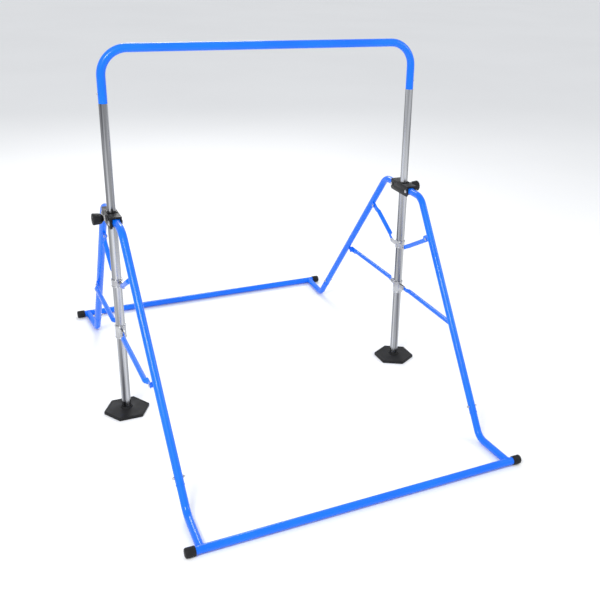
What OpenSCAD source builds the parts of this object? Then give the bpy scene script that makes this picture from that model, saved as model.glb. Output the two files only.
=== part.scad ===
// Folding kip bar: a height-adjustable training bar on two telescopic masts. Each mast stands on a
// rubber foot and is braced by a front and a rear leg that hang from a clamp block.
// Millimetres. X runs along the bar, -Y is the front, +Z is up, and the floor is z = 0.

/* [Overall] */
// Distance between the two mast centre lines
mast_spacing = 1220; // [1000:10:1500]
// Height of the high bar's centre line above the floor
bar_height = 1417; // [1300:1:1480]
// Height of the clamp blocks' centre, where the legs pivot
block_height = 814.5; // [760:0.5:880]
// Distance of each base bar from the masts, front and rear
base_reach = 945; // [900:5:1100]
// Angle of a leg from the vertical when the stand is open
leg_angle = 37.4; // [33:0.2:39]

/* [Tubes] */
// Outer radius of the high bar and of the upper masts
bar_r = 15.5; // [14:0.1:16.5]
// Outer radius of the lower masts
mast_r = 17.5; // [17.3:0.1:19]
// Outer radius of the legs
leg_r = 14.4; // [12:0.1:15]
// Outer radius of the base bars
base_r = 14.2; // [12:0.1:15]
// Outer radius of the stubs that carry a base bar
stub_r = 13.9; // [11.5:0.1:14]
// Outer radius of the struts
strut_r = 9.5; // [8:0.1:9.5]
// Wall of every blue or chromed tube
wall = 1.5; // [1.2:0.1:1.7]
// Centre-line radius of the high bar's two bends
bar_bend = 94; // [70:1:120]
// Centre-line radius of the bend under each clamp block
leg_bend = 70; // [50:1:90]
// Centre-line radius of the bend at the floor
stub_bend = 60; // [45:1:80]
// Height of the butt seam between the high bar and an upper mast
bar_seam = 1231; // [1150:1:1260]
// Length of an upper mast hidden inside its lower mast
mast_overlap = 400; // [330:5:430]
// Height of the joint between a leg and its stub
leg_seam = 99; // [85:1:140]
// Length of the reduced neck where one tube plugs into another
neck_length = 40; // [30:1:50]

/* [Clamp block] */
// Length of a clamp block, front to back
block_length = 144; // [138:1:170]
// Width of a clamp block
block_width = 44; // [44:1:54]
// Height of a clamp block
block_tall = 45; // [44:1:60]
// Distance of a leg's pivot bolt from the mast
pivot_reach = 62; // [58:1:64]
// Perpendicular distance from a leg's pivot to its straight run
leg_offset = 73; // [60:1:85]
// Radius of a leg's pivot bolt
pivot_bolt_r = 4; // [3:0.5:5]

/* [Knob] */
// Radius of the clamp knob's head
knob_r = 22; // [18:1:26]
// Length of the knob's head
knob_length = 31; // [24:1:36]
// Distance from the block's side to the knob's neck
ferrule_length = 9; // [7:1:12]
// Radius of the knob's clamping screw
screw_r = 5; // [4:0.5:6]

/* [Braces] */
// Height of the upper collar's strut pins
upper_pin_z = 557; // [530:1:580]
// Height of the lower collar's strut pins
lower_pin_z = 362; // [345:1:380]
// Height where the upper struts meet the legs
upper_leg_z = 676; // [650:1:690]
// Height where the lower struts meet the legs
lower_leg_z = 375; // [360:1:400]
// Distance of a collar's strut pin from the mast's centre
pin_reach = 52; // [50:1:56]
// Distance of a leg lug's pin from the leg's centre line
lug_reach = 26; // [25:0.5:30]
// Height of the upper collar
upper_collar_tall = 32; // [24:1:40]
// Height of the lower collar
lower_collar_tall = 55; // [45:1:60]
// Thickness of a flattened strut end
plate = 4; // [3:0.5:5]
// Reach of a strut's pressed leg end above its pin
flare_up = 18; // [12:1:22]
// Reach of a strut's pressed leg end below its pin
flare_down = 11; // [9:0.5:11]
// Thickness of a lug or of a collar's ear
ear = 3.3; // [2.5:0.1:4]
// Radius of a strut's bolt
bolt_r = 3; // [2.5:0.25:3.5]

/* [Feet and caps] */
// Corner radius of a hexagonal foot
foot_r = 89; // [70:1:95]
// Thickness of a foot's rim
foot_rim = 13; // [9:1:16]
// Height of a foot's crown round the mast
foot_crown = 24; // [20:1:30]
// Outer radius of a base bar's end cap, which rests on the floor
cap_r = 17; // [15:0.5:20]
// Length of an end cap
cap_length = 34; // [26:1:40]
// Distance from a mast's centre line to the outer face of an end cap
cap_reach = 30; // [24:1:36]

/* [Clearances] */
// Gap between a sliding piece and what it slides on
slide_gap = 0.3; // [0.2:0.05:0.5]
// Radial clearance of a bolt or a screw in its hole
pin_gap = 0.05; // [0.03:0.01:0.08]

/* [Hidden] */
$fn = 48;
mast_x = mast_spacing / 2;
base_z = cap_r;
// A leg's points at the right rear: its pivot, the corner of its bend, and where it meets the floor line
leg_lean = 30;
leg_top_x = mast_x - 2;
corner_y = pivot_reach + leg_offset / cos(leg_angle);
floor_y = corner_y + (block_height - base_z) * tan(leg_angle);
leg_pivot = [leg_top_x, pivot_reach, block_height];
leg_corner = [leg_top_x, corner_y, block_height];
leg_floor = [mast_x - leg_lean, floor_y, base_z];
function leg_point(z) = leg_corner + (leg_floor - leg_corner) * (block_height - z) / (block_height - base_z);
stub_end = [mast_x - 22, base_reach, base_z];
bar_end_x = mast_x + cap_reach - 5;
// The strut pins in the Y-Z plane: [y, z] at the collar and at the leg
inward = [-cos(leg_angle), -sin(leg_angle)];
function lug_pin(z) = [leg_point(z)[1], leg_point(z)[2]] + lug_reach * inward;
upper_pins = [[pin_reach, upper_pin_z], lug_pin(upper_leg_z)];
lower_pins = [[pin_reach, lower_pin_z], lug_pin(lower_leg_z)];
// Side planes of the struts: the upper ones lie inboard, the lower ones pass outside the legs
upper_plane = mast_x - 12.5;
lower_plane = mast_x - 0.5;
plate_gap = 0.3;
plate_r = 9;
flat_length = 24;
blend_length = 16;
bend_step = 0.05;
bend_lap = 1;
steel_blue = [0.0, 0.42, 0.95];
chrome_grey = [0.78, 0.79, 0.8];
bolt_grey = [0.6, 0.61, 0.63];
black_grey = [0.08, 0.08, 0.085];

function unit(v) = v / norm(v);

// Sends the right rear shape to another corner of the stand
module at_corner(side, end) {
    mirror([side < 0 ? 1 : 0, 0, 0])
        mirror([0, end < 0 ? 1 : 0, 0])
            children();
}

// Stands its children along the line from a to b
module along(a, b) {
    v = b - a;
    translate(a) rotate([0, acos(v[2] / norm(v)), atan2(v[1], v[0])]) children();
}

// A straight length of tube
module tube_run(a, b, r, t) {
    along(a, b) difference() {
        cylinder(h = norm(b - a), r = r);
        translate([0, 0, -1]) cylinder(h = norm(b - a) + 2, r = r - t);
    }
}

// How far a bend at b eats into each of its straight runs
function bend_cut(a, b, c, bend) = bend * tan(acos(unit(b - a) * unit(c - b)) / 2);

// The bend of a tube at corner b, drawn a hair thinner than the runs that it joins
module tube_bend(a, b, c, bend, r, t) {
    u = unit(b - a);
    v = unit(c - b);
    n = unit(v - (u * v) * u);
    z = cross(-n, u);
    o = b - u * bend_cut(a, b, c, bend) + n * bend;
    multmatrix([[-n[0], u[0], z[0], o[0]], [-n[1], u[1], z[1], o[1]], [-n[2], u[2], z[2], o[2]], [0, 0, 0, 1]])
        rotate_extrude(angle = acos(u * v)) translate([bend, 0]) difference() {
            circle(r = r - bend_step);
            circle(r = r - t + bend_step);
        }
}

// A tube along a list of corners, each rounded with the same bend; its runs lap into the bends
module tube_path(p, bend, r, t) {
    last = len(p) - 1;
    for (i = [0 : last - 1]) {
        u = unit(p[i + 1] - p[i]);
        head = i == 0 ? 0 : bend_cut(p[i - 1], p[i], p[i + 1], bend) - bend_lap;
        tail = i == last - 1 ? 0 : bend_cut(p[i], p[i + 1], p[i + 2], bend) - bend_lap;
        tube_run(p[i] + u * head, p[i + 1] - u * tail, r, t);
    }
    for (i = [1 : last - 1]) tube_bend(p[i - 1], p[i], p[i + 1], bend, r, t);
}

module top_bar() {
    color(steel_blue) tube_path([[-mast_x, 0, bar_seam], [-mast_x, 0, bar_height],
        [mast_x, 0, bar_height], [mast_x, 0, bar_seam]], bar_bend, bar_r, wall);
}

module upper_mast(side) {
    bottom = block_height - mast_overlap - 14.5;
    color(chrome_grey) translate([side * mast_x, 0, 0]) difference() {
        union() {
            translate([0, 0, bottom]) cylinder(h = bar_seam - plate_gap - bottom, r = bar_r);
            translate([0, 0, bar_seam - 1]) cylinder(h = neck_length, r = bar_r - wall - slide_gap);
        }
        translate([0, 0, bottom - 1]) cylinder(h = bar_seam + neck_length - bottom + 2, r = bar_r - 2 * wall - slide_gap);
    }
}

// Spring buttons that lock the high bar on the masts' necks
module snap_buttons() {
    color(bolt_grey) for (side = [-1, 1])
        translate([side * mast_x, 0, bar_seam + 33]) rotate([0, side * 90, 0]) {
            translate([0, 0, bar_r + 0.1]) cylinder(h = 1, r = 5);
            translate([0, 0, bar_r + 0.5]) cylinder(h = 3.5, r = 3.5);
        }
}

module block(side) {
    slot_width = 2 * leg_r + 0.8;
    roof = 6;
    drop = block_tall / 2;
    chamfer = 6;
    color(black_grey) at_corner(side, 1) difference() {
        translate([mast_x - block_width / 2, 0, block_height]) rotate([90, 0, 90])
            linear_extrude(block_width) polygon([
                [-block_length / 2, drop - 2], [-block_length / 2 + 2, drop],
                [block_length / 2 - 2, drop], [block_length / 2, drop - 2],
                [block_length / 2, -drop + chamfer], [block_length / 2 - chamfer, -drop],
                [-block_length / 2 + chamfer, -drop], [-block_length / 2, -drop + chamfer]]);
        translate([mast_x, 0, block_height - drop - 1]) cylinder(h = block_tall + 2, r = bar_r + slide_gap);
        translate([mast_x, 0, block_height - drop - 1]) cylinder(h = 11, r = mast_r + slide_gap);
        for (end = [-1, 1]) {
            translate([leg_top_x - slot_width / 2, end > 0 ? pivot_reach - leg_r - 1 : -block_length, block_height - drop - 1])
                cube([slot_width, block_length - pivot_reach + leg_r + 1, drop + 1 + leg_r + 1.5]);
            translate([mast_x - block_width, end * pivot_reach, block_height]) rotate([0, 90, 0])
                cylinder(h = 2 * block_width, r = pivot_bolt_r + pin_gap);
        }
        translate([mast_x, 0, block_height]) rotate([0, 90, 0]) cylinder(h = block_width, r = screw_r + pin_gap);
    }
}

// The leg pivots: a bolt with a low hexagonal head outside and a nut inside
module block_bolts() {
    color(bolt_grey) for (side = [-1, 1], end = [-1, 1]) at_corner(side, end)
        translate([mast_x, pivot_reach, block_height]) rotate([0, 90, 0]) {
            translate([0, 0, -block_width / 2 - 3]) cylinder(h = block_width + 6, r = pivot_bolt_r);
            translate([0, 0, block_width / 2]) cylinder(h = 4.5, r = 7.5, $fn = 6);
            translate([0, 0, -block_width / 2 - 4.5]) cylinder(h = 4.5, r = 7.5, $fn = 6);
        }
}

module knob_ferrules() {
    color(bolt_grey) for (side = [-1, 1]) at_corner(side, 1)
        translate([mast_x + block_width / 2, 0, block_height]) rotate([0, 90, 0]) difference() {
            cylinder(h = ferrule_length - 1, r = 12, $fn = 6);
            translate([0, 0, -1]) cylinder(h = ferrule_length + 2, r = screw_r + pin_gap);
        }
}

// Clamp knob: a flared head on a screw whose tip bears on the upper mast
module knob(side) {
    neck = 9;
    color(black_grey) at_corner(side, 1)
        translate([mast_x + block_width / 2 + ferrule_length, 0, block_height]) rotate([0, 90, 0]) {
            rotate_extrude() polygon([[0, 0], [11, 0], [knob_r - 3, neck], [knob_r, neck + knob_length - 4],
                [knob_r - 1, neck + knob_length - 1.2], [knob_r - 4, neck + knob_length], [0, neck + knob_length]]);
            translate([0, 0, -ferrule_length - block_width / 2 + bar_r + slide_gap])
                cylinder(h = ferrule_length + block_width / 2 - bar_r - slide_gap + 1, r = screw_r);
        }
}

module lower_mast(side) {
    top = block_height - 14.5;
    color(chrome_grey) translate([side * mast_x, 0, 0]) difference() {
        translate([0, 0, 5]) cylinder(h = top - 5, r = mast_r);
        translate([0, 0, 10]) cylinder(h = top, r = bar_r + slide_gap);
    }
}

// Hexagonal rubber foot, its corners turned by the given angle
module foot(side, turn) {
    color(black_grey) translate([side * mast_x, 0, 0]) difference() {
        union() {
            rotate([0, 0, turn]) cylinder(h = foot_rim, r = foot_r, $fn = 6);
            rotate([0, 0, turn]) translate([0, 0, foot_rim - 0.01])
                cylinder(h = 6, r1 = foot_r - 8, r2 = mast_r + 14, $fn = 6);
            cylinder(h = foot_crown, r = mast_r + 5);
        }
        translate([0, 0, 5]) cylinder(h = foot_crown, r = mast_r + 0.05);
    }
}

// A collar's band, from z = low to z = low + tall
module band(low, tall) {
    translate([mast_x, 0, low]) cylinder(h = tall, r = mast_r + 2.7);
}

// A pair of flat ears, front and rear, whose inner face is at x
module ears(x, z, hole) {
    translate([x, 0, z]) rotate([90, 0, 90]) linear_extrude(ear) difference() {
        union() {
            translate([-pin_reach, -plate_r]) square([2 * pin_reach, 2 * plate_r]);
            for (end = [-1, 1]) translate([end * pin_reach, 0]) circle(r = plate_r);
        }
        for (end = [-1, 1]) translate([end * pin_reach, 0]) circle(r = hole);
    }
}

module upper_collar(side) {
    color(chrome_grey) at_corner(side, 1) difference() {
        union() {
            band(upper_pin_z - upper_collar_tall / 2, upper_collar_tall);
            ears(upper_plane - plate_gap - ear, upper_pin_z, bolt_r);
        }
        translate([mast_x, 0, upper_pin_z - 50]) cylinder(h = 100, r = mast_r + slide_gap);
    }
}

module lower_collar(side) {
    low = lower_pin_z + 20 - lower_collar_tall;
    color(chrome_grey) at_corner(side, 1) difference() {
        union() {
            band(low, lower_collar_tall);
            ears(lower_plane - plate_gap - ear, lower_pin_z, bolt_r + pin_gap);
            ears(lower_plane + plate + plate_gap, lower_pin_z, bolt_r + pin_gap);
        }
        translate([mast_x, 0, lower_pin_z - 50]) cylinder(h = 100, r = mast_r + slide_gap);
    }
}

// A bolt along X between two faces, with a head on the outer one and a nut on the inner one
module through_bolt(x_low, x_high, pin) {
    translate([x_low, pin[0], pin[1]]) rotate([0, 90, 0]) {
        translate([0, 0, -2]) cylinder(h = x_high - x_low + 4, r = bolt_r);
        translate([0, 0, -3.5]) cylinder(h = 3.4, r = 5.5, $fn = 6);
        translate([0, 0, x_high - x_low + 0.1]) cylinder(h = 3, r = 5.5);
    }
}

module lower_collar_bolts() {
    color(bolt_grey) for (side = [-1, 1], end = [-1, 1]) at_corner(side, end)
        through_bolt(lower_plane - plate_gap - ear, lower_plane + plate + plate_gap + ear, lower_pins[0]);
}

module leg_strut_bolts(end) {
    color(bolt_grey) for (side = [-1, 1]) at_corner(side, end)
        through_bolt(upper_plane - plate_gap - ear, upper_plane + plate, upper_pins[1]);
}

// A lug welded on the side of the leg that faces the mast, its shank a little narrower than its eye
module lug(x_low, x_high, pin, hole) {
    shank = plate_r - 0.5;
    translate([x_low, pin[0], pin[1]]) rotate([90, 0, 90]) linear_extrude(x_high - x_low) difference() {
        union() {
            circle(r = plate_r);
            rotate(leg_angle) translate([0, -shank]) square([lug_reach - leg_r + 4, 2 * shank]);
        }
        circle(r = hole);
    }
}

module leg(side, end) {
    seam = leg_point(leg_seam);
    color(steel_blue) at_corner(side, end) difference() {
        union() {
            translate(leg_pivot - [leg_r - 2, 0, 0]) rotate([0, 90, 0]) cylinder(h = 2 * leg_r - 4, r = leg_r - 0.6);
            tube_path([leg_pivot, leg_corner, seam], leg_bend, leg_r, wall);
            difference() {
                union() {
                    lug(upper_plane - plate_gap - ear, upper_plane - plate_gap, upper_pins[1], bolt_r + pin_gap);
                    lug(lower_plane - plate_gap - 9, lower_plane - plate_gap, lower_pins[1], bolt_r);
                }
                along(leg_corner, seam) cylinder(h = norm(seam - leg_corner), r = leg_r - wall / 2);
            }
        }
        translate(leg_pivot - [leg_r + 5, 0, 0]) rotate([0, 90, 0])
            cylinder(h = 2 * leg_r + 10, r = pivot_bolt_r + pin_gap);
        stub_bolt_hole(bolt_r + pin_gap);
    }
}

// The bolt that holds a stub's neck in its leg, seen as a plain cylinder along X
module stub_bolt_hole(r) {
    at = leg_point(leg_seam + 18);
    translate(at - [leg_r + 8, 0, 0]) rotate([0, 90, 0]) cylinder(h = 2 * leg_r + 16, r = r);
}

module base_bar(end) {
    color(steel_blue) at_corner(1, end) difference() {
        union() {
            translate([-bar_end_x, base_reach, base_z]) rotate([0, 90, 0]) cylinder(h = 2 * bar_end_x, r = base_r);
            for (side = [-1, 1]) at_corner(side, 1) stub();
        }
        translate([-bar_end_x - 1, base_reach, base_z]) rotate([0, 90, 0])
            cylinder(h = 2 * bar_end_x + 2, r = base_r - wall);
    }
}

// A stub: a neck inside the leg, a swaged ring at the seam, a bend at the floor and a run to the base bar
module stub() {
    ring_bore = min(leg_r - 1.6 * wall, stub_r - 0.6 * wall);
    seam = leg_point(leg_seam);
    down = unit(leg_floor - leg_corner);
    difference() {
        union() {
            tube_run(seam - down * neck_length, seam + down * 5, leg_r - wall - slide_gap, wall);
            along(seam + down * plate_gap, leg_floor) difference() {
                cylinder(h = 5.5, r = leg_r + 0.9);
                translate([0, 0, -1]) cylinder(h = 8, r = ring_bore);
            }
            tube_path([seam + down * 3, leg_floor, stub_end], stub_bend, stub_r, wall);
        }
        stub_bolt_hole(bolt_r + pin_gap);
    }
}

module stub_bolts(end) {
    color(bolt_grey) for (side = [-1, 1]) at_corner(side, end) {
        at = leg_point(leg_seam + 18);
        stub_bolt_hole(bolt_r);
        translate(at - [leg_r + 3.2, 0, 0]) rotate([0, 90, 0]) cylinder(h = 3.2, r = 5.5);
        translate(at + [leg_r, 0, 0]) rotate([0, 90, 0]) cylinder(h = 4, r = 5.5, $fn = 6);
    }
}

module cap(side, end) {
    color(black_grey) at_corner(side, end)
        translate([mast_x + cap_reach - cap_length, base_reach, base_z]) rotate([0, 90, 0]) rotate_extrude() polygon([
            [base_r + 0.05, 0], [cap_r - 1.5, 0], [cap_r, 1.5], [cap_r, cap_length - 4], [cap_r - 1.5, cap_length - 1],
            [cap_r - 4, cap_length], [0, cap_length], [0, cap_length - 4.9], [base_r + 0.05, cap_length - 4.9]]);
}

// A strut's pressed end and its blend to the round tube; the end reaches by low below its pin and by high above
module strut_end(low, high) {
    rotate([90, 0, 90]) linear_extrude(plate) {
        circle(r = min(low, high));
        translate([0, -low]) square([flat_length + 1, low + high]);
    }
    hull() {
        translate([0, flat_length, -low]) cube([plate, 0.5, low + high]);
        translate([strut_r, flat_length + blend_length, 0]) rotate([-90, 0, 0])
            cylinder(h = 0.5, r = strut_r, $fn = 32);
    }
}

// A strut between two pins in the Y-Z plane; its pressed ends lie flush with the tube's inner side
module strut(plane, pins) {
    v = pins[1] - pins[0];
    length = norm(v);
    difference() {
        translate([plane, pins[0][0], pins[0][1]]) rotate([atan2(v[1], v[0]), 0, 0]) {
            strut_end(plate_r, plate_r);
            translate([0, length, 0]) rotate([180, 0, 0]) strut_end(flare_up, flare_down);
            translate([strut_r, flat_length + blend_length, 0]) rotate([-90, 0, 0])
                cylinder(h = length - 2 * (flat_length + blend_length), r = strut_r);
        }
        for (pin = pins) translate([plane - 1, pin[0], pin[1]]) rotate([0, 90, 0])
            cylinder(h = plate + 2, r = bolt_r + pin_gap);
    }
}

module upper_strut(side, end) {
    color(steel_blue) at_corner(side, end) strut(upper_plane, upper_pins);
}

module lower_strut(side, end) {
    color(steel_blue) at_corner(side, end) strut(lower_plane, lower_pins);
}

// The bolt at a strut's lapped end, seated in the strut's own plate
module lap_bolts(end, plane, pin) {
    color(bolt_grey) for (side = [-1, 1]) at_corner(side, end)
        translate([plane, pin[0], pin[1]]) rotate([0, 90, 0]) {
            translate([0, 0, 0.1]) cylinder(h = plate + 1, r = bolt_r);
            translate([0, 0, plate + 0.05]) cylinder(h = 3, r = 5.5);
        }
}

top_bar();
upper_mast(-1);  // left_upper_mast
upper_mast(1);  // right_upper_mast
snap_buttons();
block(-1);  // left_block
block(1);  // right_block
block_bolts();
knob_ferrules();
knob(-1);  // left_knob
knob(1);  // right_knob
lower_mast(-1);  // left_lower_mast
lower_mast(1);  // right_lower_mast
foot(-1, 0);  // left_foot
foot(1, 30);  // right_foot
upper_collar(-1);  // left_upper_collar
upper_collar(1);  // right_upper_collar
lower_collar(-1);  // left_lower_collar
lower_collar(1);  // right_lower_collar
lower_collar_bolts();
leg(-1, -1);  // front_left_leg
leg(1, -1);  // front_right_leg
leg(-1, 1);  // rear_left_leg
leg(1, 1);  // rear_right_leg
base_bar(-1);  // front_base_bar
base_bar(1);  // rear_base_bar
stub_bolts(-1);  // front_stub_bolts
stub_bolts(1);  // rear_stub_bolts
cap(-1, -1);  // front_left_cap
cap(1, -1);  // front_right_cap
cap(-1, 1);  // rear_left_cap
cap(1, 1);  // rear_right_cap
leg_strut_bolts(-1);  // front_leg_strut_bolts
leg_strut_bolts(1);  // rear_leg_strut_bolts
upper_strut(-1, -1);  // front_left_upper_strut
upper_strut(1, -1);  // front_right_upper_strut
upper_strut(-1, 1);  // rear_left_upper_strut
upper_strut(1, 1);  // rear_right_upper_strut
lap_bolts(-1, upper_plane, upper_pins[0]);  // front_upper_strut_bolts
lap_bolts(1, upper_plane, upper_pins[0]);  // rear_upper_strut_bolts
lower_strut(-1, -1);  // front_left_lower_strut
lower_strut(1, -1);  // front_right_lower_strut
lower_strut(-1, 1);  // rear_left_lower_strut
lower_strut(1, 1);  // rear_right_lower_strut
lap_bolts(-1, lower_plane, lower_pins[1]);  // front_lower_strut_bolts
lap_bolts(1, lower_plane, lower_pins[1]);  // rear_lower_strut_bolts
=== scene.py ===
# %% [markdown]
# # A folding kip bar
# A kip bar is a low training bar for gymnasts. This one has a blue high bar on two chromed masts that
# telescope. Each mast stands on a black rubber foot, and a front and a rear leg hang from a black clamp
# block. Flat-ended struts tie the legs to collars on the mast, and two long base bars lie on the floor.
# The engineering model already has every tube, bolt and plate in its right place. This script keeps the
# tubes, lays rounded and pressed pieces exactly where the plain ones were, and gives everything its finish.

# %% Load the engineering model
import math

import bmesh
import bpy
from mathutils import Matrix, Vector


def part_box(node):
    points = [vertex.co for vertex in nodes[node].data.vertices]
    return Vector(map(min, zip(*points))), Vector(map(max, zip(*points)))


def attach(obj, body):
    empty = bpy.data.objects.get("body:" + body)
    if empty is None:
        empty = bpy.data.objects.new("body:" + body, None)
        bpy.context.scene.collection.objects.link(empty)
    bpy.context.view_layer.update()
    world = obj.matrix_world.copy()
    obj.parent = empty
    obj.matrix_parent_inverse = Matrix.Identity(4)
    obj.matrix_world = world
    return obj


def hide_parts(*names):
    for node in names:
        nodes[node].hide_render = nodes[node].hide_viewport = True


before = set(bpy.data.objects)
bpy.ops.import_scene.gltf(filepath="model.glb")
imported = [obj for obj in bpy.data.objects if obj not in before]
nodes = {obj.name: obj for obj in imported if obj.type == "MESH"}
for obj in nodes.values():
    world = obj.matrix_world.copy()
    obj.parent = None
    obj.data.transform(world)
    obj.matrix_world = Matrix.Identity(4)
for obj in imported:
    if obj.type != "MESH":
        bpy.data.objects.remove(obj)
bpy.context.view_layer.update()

MM = 0.001

# %% [markdown]
# ## Places that everything else is measured from
# A maker measures from centre lines, so this script does too. The boxes of the engineering nodes give
# them: the mast's centre is the middle of the right lower mast, the block's height is the middle of the
# right block, and so on. Only the few sizes that no box shows, such as a leg's angle, are typed in below.

# %% Centre lines in metres
def middle(node):
    low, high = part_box(node)
    return (low + high) / 2


def size(node):
    low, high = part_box(node)
    return high - low


MAST_X = middle("right_lower_mast").x
MAST_R = size("right_lower_mast").x / 2
BAR_R = size("right_upper_mast").x / 2
BLOCK_Z = middle("right_block").z
BLOCK_HALF = size("right_block").x / 2
SIDES = (("left", -1), ("right", 1))
ENDS = (("front", -1), ("rear", 1))
print("mast centre", round(MAST_X, 4), "mast radius", round(MAST_R, 4))
print("block height", round(BLOCK_Z, 4), "half width", round(BLOCK_HALF, 4))

# %% [markdown]
# ## A base for every finish
# Real paint, chrome and rubber are never perfectly even: the colour drifts a little, the gloss drifts more,
# and the skin has a fine texture. One helper builds that with noise on Object coordinates. A slow noise
# mixes two near colours and two near roughnesses, and a fine noise feeds a Bump node. Noise was chosen
# over painted images because it has no seams and stays sharp at any distance. Numbers that are the same
# all over, such as the coat, are set on the shader's own sockets.
# patch is how many patches of drift fit in a metre, grain the same for the skin, and depth the skin's
# height in metres. Leaving depth out leaves the skin smooth.

# %% Finish helper
DRIFT_LOW, DRIFT_HIGH = 0.35, 0.65
BUMP_STRENGTH = 0.5


def finish(name, colours, roughness, patch=6.0, grain=400.0, depth=0.0, stretch=(1, 1, 1), **shader):
    """A material whose colour and gloss drift between two values, with a fine grain."""
    material = bpy.data.materials.new(name)
    material.use_nodes = True
    tree = material.node_tree
    surface = tree.nodes["Principled BSDF"]
    place = tree.nodes.new("ShaderNodeTexCoord")
    scale = tree.nodes.new("ShaderNodeMapping")
    scale.inputs["Scale"].default_value = stretch
    tree.links.new(place.outputs["Object"], scale.inputs["Vector"])
    drift = tree.nodes.new("ShaderNodeTexNoise")
    drift.inputs["Scale"].default_value = patch
    drift.inputs["Detail"].default_value = 3
    tree.links.new(scale.outputs["Vector"], drift.inputs["Vector"])
    wide = tree.nodes.new("ShaderNodeMapRange")
    wide.inputs["From Min"].default_value = DRIFT_LOW
    wide.inputs["From Max"].default_value = DRIFT_HIGH
    tree.links.new(drift.outputs["Fac"], wide.inputs["Value"])
    mix = tree.nodes.new("ShaderNodeMix")
    mix.data_type = "RGBA"
    mix.inputs["A"].default_value = (*colours[0], 1)
    mix.inputs["B"].default_value = (*colours[1], 1)
    tree.links.new(wide.outputs["Result"], mix.inputs["Factor"])
    tree.links.new(mix.outputs["Result"], surface.inputs["Base Color"])
    gloss = tree.nodes.new("ShaderNodeMapRange")
    gloss.inputs["To Min"].default_value = roughness[0]
    gloss.inputs["To Max"].default_value = roughness[1]
    tree.links.new(wide.outputs["Result"], gloss.inputs["Value"])
    tree.links.new(gloss.outputs["Result"], surface.inputs["Roughness"])
    if depth:
        fine = tree.nodes.new("ShaderNodeTexNoise")
        fine.inputs["Scale"].default_value = grain
        fine.inputs["Detail"].default_value = 2
        tree.links.new(place.outputs["Object"], fine.inputs["Vector"])
        bump = tree.nodes.new("ShaderNodeBump")
        bump.inputs["Strength"].default_value = BUMP_STRENGTH
        bump.inputs["Distance"].default_value = depth
        tree.links.new(fine.outputs["Fac"], bump.inputs["Height"])
        tree.links.new(bump.outputs["Normal"], surface.inputs["Normal"])
    for socket, value in shader.items():
        surface.inputs[socket.replace("_", " ")].default_value = value
    return material


# %% [markdown]
# ## The blue paint
# The tubes are sprayed with dry powder and baked. The melted powder flows into a thick gloss skin with a
# faint orange-peel ripple. A clear coat over a saturated base gives the sharp highlight along each tube, and
# the fine bump gives the ripple.

# %% Blue powder coat
blue = finish("blue_powder_coat", ((0.0, 0.14, 0.82), (0.0, 0.165, 0.9)), (0.3, 0.38), patch=5,
              grain=260, depth=0.06 * MM, Coat_Weight=0.35, Coat_Roughness=0.08, Specular_IOR_Level=0.2)
print("paint:", blue.name)

# %% [markdown]
# ## The bright metals
# The masts are chromed and polished, so they are nearly a mirror with a slight draw line along their length.
# The noise is stretched along Z to make those lines. Its colour also swings widely, from near black to bright
# grey,
# and that is painted reflection: the dark and bright streaks along the mast stand in for a studio mirrored in
# a polished tube. The collars are chromed but not polished, so a little duller, and the bolts duller again,
# because plated fasteners come out of a barrel, not off a polishing wheel.

# %% Chrome with painted reflection streaks, bright chrome and bolt steel
# Mast chrome: real draw lines plus painted reflection, dark and bright streaks along Z from near black to
# bright grey
chrome = finish("polished_chrome_painted_reflections", ((0.09, 0.09, 0.10), (0.62, 0.63, 0.65)), (0.16, 0.3), patch=70,
                grain=500, depth=0.02 * MM, stretch=(1, 1, 0.015), Metallic=1.0, Anisotropic=0.7)
bright = finish("bright_chrome", ((0.40, 0.40, 0.42), (0.56, 0.57, 0.58)), (0.2, 0.34), patch=30,
              grain=700, depth=0.03 * MM, Metallic=1.0)
bolt_steel = finish("plated_bolt_steel", ((0.50, 0.50, 0.51), (0.64, 0.63, 0.62)), (0.28, 0.42), patch=90,
                    grain=900, depth=0.04 * MM, Metallic=1.0)
print("metals:", chrome.name, bright.name, bolt_steel.name)

# %% [markdown]
# ## The black mouldings
# The clamp blocks and knobs are moulded in a hard black plastic with a satin spark-eroded skin. The end caps
# and feet are rubber: a touch greyer, duller, and with a coarser grain that holds a little dust.

# %% Black plastic and rubber
plastic = finish("satin_black_plastic", ((0.005, 0.005, 0.006), (0.009, 0.009, 0.010)), (0.34, 0.46),
                 patch=25, grain=1400, depth=0.08 * MM, Specular_IOR_Level=0.28)
rubber = finish("black_rubber", ((0.006, 0.006, 0.007), (0.014, 0.014, 0.015)), (0.5, 0.68),
                patch=18, grain=1000, depth=0.15 * MM, Specular_IOR_Level=0.25)
print("blacks:", plastic.name, rubber.name)

# %% [markdown]
# ## Dress the engineering nodes
# Every tube in the engineering model already has its true shape, so it only needs its finish. The nodes that
# a finer piece stands for later get theirs too, so none is ever left plain. Names say what each node is, and
# one table of name endings is enough to give them all a material.

# %% Give each node its finish
DRESS = (("_mast", chrome), ("_collar", bright),
         ("bolts", bolt_steel), ("buttons", bolt_steel), ("ferrules", bolt_steel),
         ("_block", plastic), ("_knob", plastic), ("_foot", rubber), ("_cap", rubber),
         ("top_bar", blue), ("_leg", blue), ("_base_bar", blue), ("_strut", blue))
for name, node in nodes.items():
    coat = next(m for ending, m in DRESS if name.endswith(ending))
    for slot in node.material_slots:
        slot.material = coat
print("dressed", len(nodes), "nodes")

# %% [markdown]
# ## From a bmesh to a piece
# Every new piece goes through the same last steps. Its mesh becomes an object at the origin, its faces are
# shaded smooth with sharp edges where the surface turns by more than 35 degrees, it gets its finish, and it
# is tied to the body it moves with. A second helper rounds the edges of a mesh. A bevel on a very short edge
# leaves corners on top of each other, so it merges them afterwards.

# %% Piece helper
SHARP = math.radians(35)
SAME_PLACE = 1e-6


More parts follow.
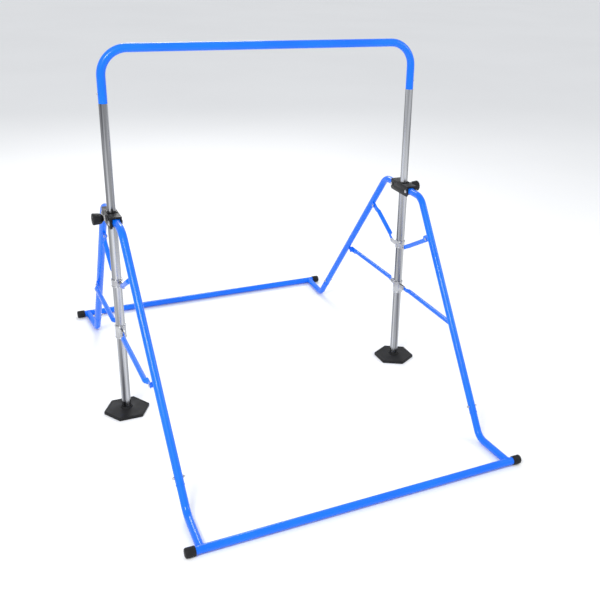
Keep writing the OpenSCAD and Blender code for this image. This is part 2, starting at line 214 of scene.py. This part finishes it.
def piece(name, bm, material, body):
    mesh = bpy.data.meshes.new(name)
    bm.to_mesh(mesh)
    bm.free()
    mesh.polygons.foreach_set("use_smooth", [True] * len(mesh.polygons))
    mesh.set_sharp_from_angle(angle=SHARP)
    mesh.materials.append(material)
    made = bpy.data.objects.new(name, mesh)
    bpy.context.collection.objects.link(made)
    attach(made, body)
    return made


def soften(bm, width, slope=35, segments=3):
    """Round every edge where two faces turn by more than slope degrees."""
    turned_enough = math.radians(slope)
    edges = [e for e in bm.edges if len(e.link_faces) == 2 and e.calc_face_angle(0) > turned_enough]
    bmesh.ops.bevel(bm, geom=edges, offset=width, offset_type="OFFSET", segments=segments, profile=0.5,
                    affect="EDGES", material=-1, clamp_overlap=True)
    bmesh.ops.remove_doubles(bm, verts=bm.verts, dist=SAME_PLACE)


# %% [markdown]
# ## Turned parts
# A knob, a cap and a washer are all round, so each is a profile spun about an axis, as on a lathe or in a
# round mould. The profile is a short list of (distance along the axis, radius) steps. A full spin with its
# ends merged leaves no seam, and merging doubles closes the pole. Because a spin can turn a shape inside
# out, its normals are recalculated.

# %% Spin helper
def turned(profile, centre, axis, steps=64, ring=False):
    """A profile of (distance, radius) steps spun about an axis. ring joins its last step to its first."""
    bm = bmesh.new()
    verts = [bm.verts.new((radius, 0, along)) for along, radius in profile]
    edges = [bm.edges.new(pair) for pair in zip(verts, verts[1:])]
    if ring:
        edges.append(bm.edges.new((verts[-1], verts[0])))
    bmesh.ops.spin(bm, geom=verts + edges, cent=(0, 0, 0), axis=(0, 0, 1), angle=math.tau, steps=steps,
                   use_merge=True)
    bmesh.ops.remove_doubles(bm, verts=bm.verts, dist=SAME_PLACE)
    bmesh.ops.recalc_face_normals(bm, faces=bm.faces)
    turn = Vector((0, 0, 1)).rotation_difference(Vector(axis)).to_matrix().to_4x4()
    bmesh.ops.transform(bm, matrix=Matrix.Translation(centre) @ turn, verts=bm.verts)
    return bm


# %% [markdown]
# ## Clamp blocks
# The clamp block is one moulding: a mast runs through it, and a slot at each end takes the top of a leg. A
# moulding has no razor edges, because plastic shrinks from a sharp corner. The quickest honest way to that
# shape is a copy of the engineering block with its loose triangles merged, its flat faces joined, and every
# edge rounded. A plain Bevel on a box would have lost the slots.

# %% Copy and round a node
NEARLY_FLAT = math.radians(1)
BLOCK_ROUNDING = 1.6 * MM


def rounded_copy(node, width, segments=3):
    bm = bmesh.new()
    bm.from_mesh(nodes[node].data)
    bmesh.ops.remove_doubles(bm, verts=bm.verts, dist=SAME_PLACE)
    bmesh.ops.dissolve_limit(bm, angle_limit=NEARLY_FLAT, verts=bm.verts, edges=bm.edges)
    soften(bm, width, segments=segments)
    return bm


# %% Clamp mouldings
for side, _ in SIDES:
    moulding = piece(side + "_clamp_moulding", rounded_copy(side + "_block", BLOCK_ROUNDING), plastic,
                     "clamp_blocks")
    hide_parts(side + "_block")
    print(moulding.name, len(moulding.data.polygons), "faces")

# %% [markdown]
# ## Square guides on the blocks
# On top of each block a low square guide surrounds the mast and keeps grit out of the bore. It starts as a
# circle the size of the bore. The circle's edge is extruded, the new ring is pushed out on to a square, and
# the flat frame is lifted to its thickness.

# %% Square guide round a mast
GUIDE_HALF = 19 * MM
GUIDE_TALL = 2.6 * MM
GUIDE_SINK = 0.2 * MM
BORE_GAP = 0.3 * MM
BLOCK_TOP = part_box("right_block")[1].z


def corners_of(geometry):
    """The vertices among the things that an extrusion made."""
    return [g for g in geometry if isinstance(g, bmesh.types.BMVert)]


def square_guide(side_sign):
    bm = bmesh.new()
    bmesh.ops.create_circle(bm, cap_ends=False, segments=48, radius=BAR_R + BORE_GAP)
    for v in corners_of(bmesh.ops.extrude_edge_only(bm, edges=bm.edges[:])["geom"]):
        v.co *= GUIDE_HALF / max(abs(v.co.x), abs(v.co.y))
    lifted = bmesh.ops.extrude_face_region(bm, geom=bm.faces[:])["geom"]
    bmesh.ops.translate(bm, vec=(0, 0, GUIDE_TALL), verts=corners_of(lifted))
    bmesh.ops.recalc_face_normals(bm, faces=bm.faces)
    bmesh.ops.translate(bm, vec=(side_sign * MAST_X, 0, BLOCK_TOP - GUIDE_SINK), verts=bm.verts)
    soften(bm, 0.5 * MM, segments=2)
    return bm


for side, sign in SIDES:
    guide = piece(side + "_mast_guide", square_guide(sign), plastic, "clamp_blocks")
    print(guide.name, "top at", round(BLOCK_TOP + GUIDE_TALL - GUIDE_SINK, 4))

# %% [markdown]
# ## Clamp knobs
# A hand grips the knob hard to lock the bar's height, so its rim is fluted. The head is turned first, flaring
# towards its outer end. Then the rim is drawn in by a cosine wave round the axis, sharpened so that the
# grips stay broad and the flutes narrow. Cutting the flutes with a boolean would leave ragged edges on a
# turned shape. The screw behind the head is a tapered cylinder that passes into the block.

# %% Fluted knob head
FLUTES = 12
FLUTE_DEPTH = 0.075
FLUTE_START = 0.72
FLUTE_FADE = 0.2
NECK_GAP = 9 * MM


def knob_profile(neck, reach, head):
    """From the neck behind the head to the small boss in its face; head is the largest radius."""
    flare = [(neck, 0), (neck, 10 * MM), (neck + 1.2 * MM, 11.2 * MM), (neck + 7 * MM, head - 4.5 * MM),
             (neck + 10 * MM, head - 2.6 * MM), (neck + 16 * MM, head - 1.6 * MM)]
    rim = [(neck + 26 * MM, head - 0.8 * MM), (reach - 5.5 * MM, head), (reach - 2.6 * MM, head - 0.6 * MM),
           (reach - 0.9 * MM, head - 2.4 * MM), (reach - 0.4 * MM, head - 4.5 * MM)]
    face = [(reach - 0.4 * MM, head - 7 * MM), (reach - 1.6 * MM, head - 8.2 * MM),
            (reach - 1.6 * MM, 6 * MM), (reach, 5 * MM), (reach, 0)]
    return flare + rim + face


def knob(side_sign, node):
    near, reach = sorted(abs(corner.x) - MAST_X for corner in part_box(node))
    head = size(node).z / 2
    neck = BLOCK_HALF + NECK_GAP
    bm = turned(knob_profile(neck, reach, head), (0, 0, 0), (0, 0, 1), steps=FLUTES * 8)
    for v in bm.verts:
        radius = math.hypot(v.co.x, v.co.y)
        rim = min(max((radius - FLUTE_START * head) / (FLUTE_FADE * head), 0), 1)
        wave = 0.5 + 0.5 * math.cos(FLUTES * math.atan2(v.co.y, v.co.x))
        v.co.xy *= 1 - FLUTE_DEPTH * rim * wave ** 3
    screw = bmesh.ops.create_cone(bm, cap_ends=True, segments=24, radius1=4.4 * MM, radius2=5 * MM,
                                  depth=neck - near + MM)["verts"]
    bmesh.ops.translate(bm, vec=(0, 0, (neck + near + MM) / 2), verts=screw)
    turn = Matrix.Rotation(side_sign * math.pi / 2, 4, "Y")
    into_place = Matrix.Translation((side_sign * MAST_X, 0, BLOCK_Z)) @ turn
    bmesh.ops.transform(bm, matrix=into_place, verts=bm.verts)
    return bm


for side, sign in SIDES:
    made = piece(side + "_fluted_knob", knob(sign, side + "_knob"), plastic, side + "_knob")
    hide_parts(side + "_knob")
    print(made.name, len(made.data.polygons), "faces")

# %% [markdown]
# ## Rubber feet
# Each mast ends in a hexagonal rubber foot, flat below, with a low rim and a panel that rises to a round
# socket. The hexagon starts as a six-sided circle and grows by extrusions and insets, as a mould is cut in
# steps. The socket is a separate turned ring with a rolled lip, because its round edge would not fit into
# the six flat sides cleanly. Bevelling the whole foot at once rounds the rim and the panel alike.

# %% Hexagonal foot
FOOT_WALL = 11 * MM
# Each step is how far the top shrinks inwards, and how far it then rises
FOOT_STEPS = ((2.5 * MM, 1.6 * MM), (5 * MM, 0), (1.2 * MM, -1.2 * MM), (44 * MM, 5.2 * MM))


def hexagonal_foot(side_sign, turn, corner):
    bm = bmesh.new()
    bmesh.ops.create_circle(bm, cap_ends=True, segments=6, radius=corner)
    wall = bmesh.ops.extrude_face_region(bm, geom=bm.faces[:])["geom"]
    bmesh.ops.translate(bm, vec=(0, 0, FOOT_WALL), verts=corners_of(wall))
    top = [g for g in wall if isinstance(g, bmesh.types.BMFace)]
    for inwards, rise in FOOT_STEPS:
        bmesh.ops.inset_region(bm, faces=top, thickness=inwards, depth=rise, use_even_offset=True)
    bmesh.ops.recalc_face_normals(bm, faces=bm.faces)
    soften(bm, 1.1 * MM, slope=12, segments=2)
    bmesh.ops.rotate(bm, cent=(0, 0, 0), matrix=Matrix.Rotation(math.radians(turn), 3, "Z"), verts=bm.verts)
    bmesh.ops.translate(bm, vec=(side_sign * MAST_X, 0, 0), verts=bm.verts)
    return bm


# %% Socket ring round the mast
def socket_profile(tall):
    bore = MAST_R + 0.1 * MM
    return [(9 * MM, bore), (9 * MM, bore + 9 * MM), (tall - 8 * MM, bore + 6.4 * MM),
            (tall - 3 * MM, bore + 4 * MM), (tall - 1 * MM, bore + 3.6 * MM), (tall, bore + 2.4 * MM),
            (tall, bore + 1 * MM), (tall - 0.8 * MM, bore)]


# %% Both feet and their sockets
for side, sign in SIDES:
    wide = size(side + "_foot")
    corner = max(wide.x, wide.y) / 2
    turn = 30 if wide.x > wide.y else 0
    tread = piece(side + "_rubber_foot", hexagonal_foot(sign, turn, corner), rubber, "lower_masts")
    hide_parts(side + "_foot")
    ring = turned(socket_profile(wide.z), (sign * MAST_X, 0, 0), (0, 0, 1), ring=True)
    socket = piece(side + "_foot_socket", ring, rubber, "lower_masts")
    print(tread.name, "corner radius", round(corner, 4), "turned", turn, "with", socket.name)

# %% [markdown]
# ## End caps
# A rubber cap closes each end of the base bars and keeps the paint off the floor. It is turned, with a rolled
# mouth, three grip rings and a slightly sunk end, like the caps on any stacking chair. The profile starts at
# the bottom of its hollow, because a profile that starts and ends on the axis spins to a closed skin.

# %% Turned end caps
CAP_WALL = 2.8 * MM
CAP_FLOOR = 3.6 * MM
GROOVES = (9 * MM, 14 * MM, 19 * MM)


def cap_profile(length, outer):
    bore = outer - CAP_WALL
    hollow = [(length - CAP_FLOOR, 0), (length - CAP_FLOOR, bore), (0, bore)]
    skin = [(0, outer - 1.4 * MM), (0.5 * MM, outer - 0.6 * MM), (1.4 * MM, outer - 0.2 * MM)]
    for groove in GROOVES:
        skin += [(groove - 0.9 * MM, outer), (groove, outer - 0.7 * MM), (groove + 0.9 * MM, outer)]
    shoulder = [(length - 5 * MM, outer), (length - 2.6 * MM, outer - 0.7 * MM),
                (length - 0.9 * MM, outer - 2.4 * MM), (length, outer - 4.6 * MM), (length, outer - 6 * MM)]
    sunk_end = [(length - 0.8 * MM, outer - 7 * MM), (length - 0.8 * MM, 0)]
    return hollow + skin + shoulder + sunk_end


for end, _ in ENDS:
    for side, sign in SIDES:
        node = end + "_" + side + "_cap"
        low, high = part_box(node)
        mouth = Vector((low.x if sign > 0 else high.x, middle(node).y, middle(node).z))
        outer = size(node).z / 2
        skin = turned(cap_profile(size(node).x, outer), mouth, (sign, 0, 0))
        made = piece(node[:-3] + "ribbed_cap", skin, rubber, end + "_legs")
        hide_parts(node)
print("caps turned, outer radius", round(outer, 4))

# %% [markdown]
# ## Collars
# The upper and lower collars are pressed steel bands with flat ears. A copy of the engineering collar gets
# its stamped edges eased. Real bands also have rolled stiffening ribs, which catch the light as thin bright
# rings, so a turned rib is laid near each end of every band.

# %% Eased collars with rolled ribs
STAMPED = 0.5 * MM
RIB_R = MAST_R + 2.6 * MM
RIB_PROUD = 1.5 * MM
RIB_HALF = 2.2 * MM
RIB_INSET = 4 * MM


def rib_profile():
    angles = [math.pi * i / 8 for i in range(9)]
    return [(-RIB_HALF * math.cos(a), RIB_R + RIB_PROUD * math.sin(a)) for a in angles]


for level in ("upper", "lower"):
    body = level + "_collars"
    for side, sign in SIDES:
        name = side + "_" + level
        eased = piece(name + "_pressed_collar", rounded_copy(name + "_collar", STAMPED, segments=2), bright,
                      body)
        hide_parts(name + "_collar")
        low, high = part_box(name + "_collar")
        for place, z in (("low", low.z + RIB_INSET), ("high", high.z - RIB_INSET)):
            rib = turned(rib_profile(), (sign * MAST_X, 0, z), (0, 0, 1), ring=True)
            piece(name + "_rib_" + place, rib, bright, body)
        print(eased.name, "with two ribs at", round(low.z + RIB_INSET, 4), round(high.z - RIB_INSET, 4))

# %% [markdown]
# ## Struts with pressed ends
# A strut is a round tube whose two ends are pressed flat, so a bolt can pass through. Pressing makes an end
# wider than the tube, because the wall has to go somewhere. The leg end is pressed right out, more on the
# side away from the leg, so it clears the leg when the stand folds. The collar end is trimmed narrower to
# clear the collar. Each strut starts as a circle. The circle is extruded from station to station along the
# strut, and at each station it is scaled towards the flat section. Pressing a finished tube with a modifier
# would give no say over each end's outline.

# %% Strut lofted through its stations
STRUT_R = size("front_right_upper_strut").x / 2
PLATE = 4 * MM
FLAT = 24 * MM
BLEND = 16 * MM
BLUNT = 0.3
# Half width on the leg's side, half width on the other side, and the reach past the pin
COLLAR_END = (9 * MM, 9 * MM, 8.8 * MM)
LEG_END = (11 * MM, 18 * MM, 10 * MM)


def pressed_end(down, up, reach):
    """Stations of (distance past the pin, down, up, roundness), from a blunt tip to the full tube."""
    end = []
    for a in (math.pi / 2 * i / 5 for i in range(6)):
        swell = BLUNT + (1 - BLUNT) * math.sin(a)
        end.append((-reach * math.cos(a), down * swell, up * swell, 0))
    end.append((FLAT, down, up, 0))
    for t in (i / 6 for i in range(1, 7)):
        ease = t * t * (3 - 2 * t)
        end.append((FLAT + BLEND * t, down + (STRUT_R - down) * ease, up + (STRUT_R - up) * ease, ease))
    return end


def strut_loft(length, way):
    """A strut along Z from its collar pin, with its pressed faces on x = 0; way is 1 at the rear."""
    far_end = [(length - at, *rest) for at, *rest in reversed(pressed_end(*LEG_END))]
    bm = bmesh.new()
    loop = bmesh.ops.create_circle(bm, cap_ends=True, segments=24, radius=1)["verts"]
    units = {v: v.co.copy() for v in loop}
    for count, (at, down, up, roundness) in enumerate(pressed_end(*COLLAR_END) + far_end):
        thick = PLATE / 2 + (STRUT_R - PLATE / 2) * roundness
        if count:
            lid = [f for f in bm.faces if all(v in units for v in f.verts)]
            fresh = corners_of(bmesh.ops.extrude_face_region(bm, geom=lid)["geom"])
            bmesh.ops.delete(bm, geom=[f for f in lid if f.is_valid and count > 1], context="FACES_ONLY")
            units = {v: min(units.items(), key=lambda item: (item[0].co - v.co).length)[1] for v in fresh}
        for v, unit in units.items():
            v.co = Vector((unit.x * thick + thick, unit.y * (down if unit.y * way > 0 else up), at))
    bmesh.ops.remove_doubles(bm, verts=bm.verts, dist=SAME_PLACE)
    return bm


def strut(side_sign, plane, collar_pin, leg_pin, way):
    """Pins are (y, z), and plane is the inner face of the pressed ends."""
    run = Vector((0, leg_pin[0] - collar_pin[0], leg_pin[1] - collar_pin[1]))
    bm = strut_loft(run.length, way)
    along = run.normalized()
    across = along.cross(Vector((1, 0, 0)))
    into_place = Matrix(((side_sign, 0, 0, side_sign * plane), (0, across.y, along.y, collar_pin[0]),
                         (0, across.z, along.z, collar_pin[1]), (0, 0, 0, 1)))
    bmesh.ops.transform(bm, matrix=into_place, verts=bm.verts)
    bmesh.ops.recalc_face_normals(bm, faces=bm.faces)
    return bm


# %% Pins and struts
def pin_of(bolts):
    return middle(bolts).y, middle(bolts).z


LOWER_PIN_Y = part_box("lower_collar_bolts")[1].y - size("lower_collar_bolts").z / 2
LOWER_PIN_Z = middle("lower_collar_bolts").z
for end, way in ENDS:
    pins = {"upper": (pin_of(end + "_upper_strut_bolts"), pin_of(end + "_leg_strut_bolts")),
            "lower": ((way * LOWER_PIN_Y, LOWER_PIN_Z), pin_of(end + "_lower_strut_bolts"))}
    for level, (collar_pin, leg_pin) in pins.items():
        for side, sign in SIDES:
            name = "_".join((end, side, level))
            plane = min(abs(corner.x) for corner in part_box(name + "_strut"))
            made = piece(name + "_pressed_strut", strut(sign, plane, collar_pin, leg_pin, way), blue,
                         end + "_" + level + "_struts")
            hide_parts(name + "_strut")
        print(end, level, "strut pins", [round(c, 4) for c in (*collar_pin, *leg_pin)])

# %% [markdown]
# ## Pivot bolts and washers
# The leg bolts, strut bolts and stub bolts are plated hexagon bolts. The engineering model gives their
# shanks and heads. What it lacks is the chamfer that every forged head has, and the thin washers under the
# pivot heads. A rounded copy gives the chamfer, and the washers are turned.

# %% Chamfered bolts
BOLT_BODY = {"block_bolts": "clamp_blocks", "lower_collar_bolts": "lower_collars"}
for end, _ in ENDS:
    BOLT_BODY[end + "_stub_bolts"] = end + "_legs"
    BOLT_BODY[end + "_leg_strut_bolts"] = end + "_legs"
    BOLT_BODY[end + "_upper_strut_bolts"] = end + "_upper_struts"
    BOLT_BODY[end + "_lower_strut_bolts"] = end + "_lower_struts"
for node, body in BOLT_BODY.items():
    made = piece(node + "_chamfered", rounded_copy(node, STAMPED, segments=2), bolt_steel, body)
    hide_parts(node)
print("bolt groups:", len(BOLT_BODY))

# %% Washers under the pivot heads
HEAD_CORNER = 7.5 * MM
PIVOT_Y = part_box("block_bolts")[1].y - HEAD_CORNER * math.cos(math.radians(30))
WASHER = [(0, 4.2 * MM), (0, 9.5 * MM), (0.4 * MM, 10 * MM), (1.1 * MM, 10 * MM), (1.4 * MM, 9.6 * MM),
          (1.4 * MM, 4.2 * MM)]
for end, way in ENDS:
    for side, sign in SIDES:
        seat = (sign * (MAST_X + BLOCK_HALF), way * PIVOT_Y, BLOCK_Z)
        washer = turned(WASHER, seat, (sign, 0, 0), steps=40, ring=True)
        piece(end + "_" + side + "_pivot_washer", washer, bolt_steel, "clamp_blocks")
print("pivot bolts at y =", round(PIVOT_Y, 4))

# %% [markdown]
# ## Hexagon ferrules and spring buttons
# Between each knob and its block sits a plated hexagon nut, pressed into the plastic, that carries the
# clamping screw's thread. The little buttons high on the masts are domed and sprung: pressing them in lets
# the high bar come off. Both come from their engineering nodes, one chamfered and the other rounded over.

# %% Chamfered ferrules and domed buttons
SMALL_METAL = (("knob_ferrules", 0.8 * MM, 2, "clamp_blocks"), ("snap_buttons", 0.9 * MM, 3, "high_bar"))
for node, width, steps, body in SMALL_METAL:
    made = piece(node + "_finished", rounded_copy(node, width, segments=steps), bolt_steel, body)
    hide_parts(node)
    print(made.name, len(made.data.polygons), "faces")

# %% [markdown]
# ## Weld beads
# Each stub is welded to its base bar all round the joint. A hand weld is a row of overlapping round puddles
# under the paint. Their centres follow the line where one cylinder meets the other. For a puddle at a given
# angle round the stub, the line along the stub is followed until it is one bar radius from the bar's axis.
# A small sphere is laid there, half sunk in the tubes, and few-sided because there are many of them.
# The tubes' radii and the leg's angle and offset are the engineering model's own sizes, which no box shows.

# %% Where the stub meets the base bar
BASE_Y = abs(middle("front_right_cap").y)
BASE_Z = middle("front_right_cap").z
BASE_R = 14.2 * MM
STUB_R = 13.9 * MM
LEG_OFFSET = 73 * MM
LEG_ANGLE = math.radians(37.4)
BEND_Y = PIVOT_Y + LEG_OFFSET / math.cos(LEG_ANGLE) + (BLOCK_Z - BASE_Z) * math.tan(LEG_ANGLE)
STUB_FROM = Vector((MAST_X - 30 * MM, BEND_Y, BASE_Z))
STUB_TO = Vector((MAST_X - 22 * MM, BASE_Y, BASE_Z))
print("stub bend at y =", round(BEND_Y, 4), " bar at y =", round(BASE_Y, 4))

# %% Weld puddles
PUDDLES = 30
PUDDLE_R = 2.3 * MM


def weld_ring(sign, way):
    corner = Vector((sign, way, 1))
    stop = STUB_TO * corner
    run = (stop - STUB_FROM * corner).normalized()
    up = Vector((0, 0, 1))
    level = run.cross(up).normalized()
    bm = bmesh.new()
    for i in range(PUDDLES):
        turn = math.tau * i / PUDDLES
        offset = STUB_R * (math.cos(turn) * level + math.sin(turn) * up)
        reach = math.sqrt(max(BASE_R ** 2 - offset.z ** 2, 0))
        back = (reach + offset.y * math.copysign(1, run.y)) / abs(run.y)
        puddle = bmesh.ops.create_icosphere(bm, subdivisions=1, radius=PUDDLE_R)["verts"]
        bmesh.ops.translate(bm, vec=stop + offset - run * back, verts=puddle)
    return bm


for end, way in ENDS:
    for side, sign in SIDES:
        piece(end + "_" + side + "_weld", weld_ring(sign, way), blue, end + "_legs")
print("weld puddles per joint:", PUDDLES)

# %% [markdown]
# ## Floor and light
# The bar stands in a plain white studio. A large soft key light on the left makes the long bright lines on
# the blue tubes, a weaker one on the right opens the shadows, and a high one behind draws the chrome's
# edges. Soft lights are large area lights, since a small lamp would draw hard shadows.

# %% Pale floor
FLOOR_HALF = 60
bm = bmesh.new()
bmesh.ops.create_grid(bm, x_segments=1, y_segments=1, size=FLOOR_HALF)
floor_mesh = bpy.data.meshes.new("floor")
bm.to_mesh(floor_mesh)
bm.free()
floor = bpy.data.objects.new("floor", floor_mesh)
bpy.context.collection.objects.link(floor)
pale = finish("pale_floor", ((0.92, 0.92, 0.92), (0.94, 0.94, 0.94)), (0.8, 0.9), patch=0.5)
floor.data.materials.append(pale)
print("floor half width in metres:", FLOOR_HALF)

# %% Soft light
world = bpy.data.worlds.new("studio")
bpy.context.scene.world = world
world.use_nodes = True
world.node_tree.nodes["Background"].inputs["Color"].default_value = (0.92, 0.94, 0.97, 1)
world.node_tree.nodes["Background"].inputs["Strength"].default_value = 0.82
bpy.context.scene.view_settings.view_transform = "Standard"


def soft_light(name, place, aim, width, power):
    lamp = bpy.data.lights.new(name, "AREA")
    lamp.shape = "RECTANGLE"
    lamp.size, lamp.size_y = width, width * 0.7
    lamp.energy = power
    made = bpy.data.objects.new(name, lamp)
    made.location = place
    made.rotation_euler = (Vector(aim) - Vector(place)).to_track_quat("-Z", "Y").to_euler()
    bpy.context.collection.objects.link(made)
    print("light:", name, power, "watts")


soft_light("key", (-2.6, -2.8, 3.4), (0, 0, 0.6), 1.6, 110)
soft_light("fill", (3.4, -1.8, 2.4), (0, 0, 0.6), 2.0, 30)
soft_light("back", (0.6, 3.6, 3.2), (0, 0, 0.8), 1.6, 60)

# %% [markdown]
# ## The camera
# The camera stands a little above the bar, in front and to the left, with a lens a touch longer than normal.
# Its small shift moves the bar within the frame without tilting the camera any more.

# %% Camera
view = bpy.data.cameras.new("camera")
view.lens = 51.41
view.sensor_width = 36
view.shift_x = -0.1326
view.shift_y = -0.0247
camera = bpy.data.objects.new("camera", view)
camera.location = (-1.1601, -3.0755, 1.8532)
camera.rotation_euler = [math.radians(a) for a in (67.0445, -2.6758, -27.4858)]
bpy.context.collection.objects.link(camera)
bpy.context.scene.camera = camera
print("camera at", tuple(round(c, 3) for c in camera.location))
